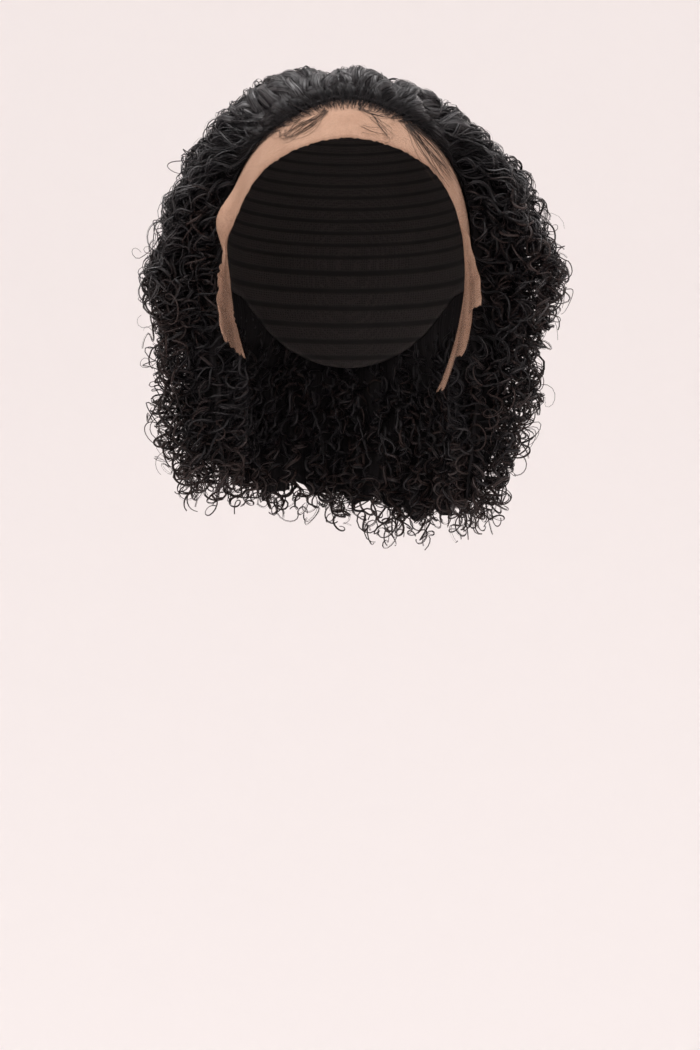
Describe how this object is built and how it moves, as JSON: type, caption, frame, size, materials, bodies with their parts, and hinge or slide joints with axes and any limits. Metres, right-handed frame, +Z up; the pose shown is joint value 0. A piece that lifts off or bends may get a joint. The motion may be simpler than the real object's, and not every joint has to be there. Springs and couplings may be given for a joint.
{
  "type": "lace front wig",
  "caption": "Short curly black wig with a sheer tan lace front, a wefted cap and loose lace tabs at the ears, worn over the head as false hair.",
  "frame": {"origin": "where the crown of the wearer's head meets the inside of the cap", "axes": "+Z up, the face opening looks along -Y, +X is the wearer's left"},
  "size_m": [0.2652, 0.2268, 0.3031],
  "materials": {
    "lace": "sheer matte net",
    "cap": "matte stretch net",
    "hair": "soft sheen hair"
  },
  "bodies": {
    "root": {"lace_front": "lace", "ear_tab_left": "lace", "ear_tab_right": "lace", "cap_crown": "cap", "hair_top": "hair", "hair_side_left": "hair", "hair_side_right": "hair", "hair_back": "hair"}
  },
  "joints": []
}
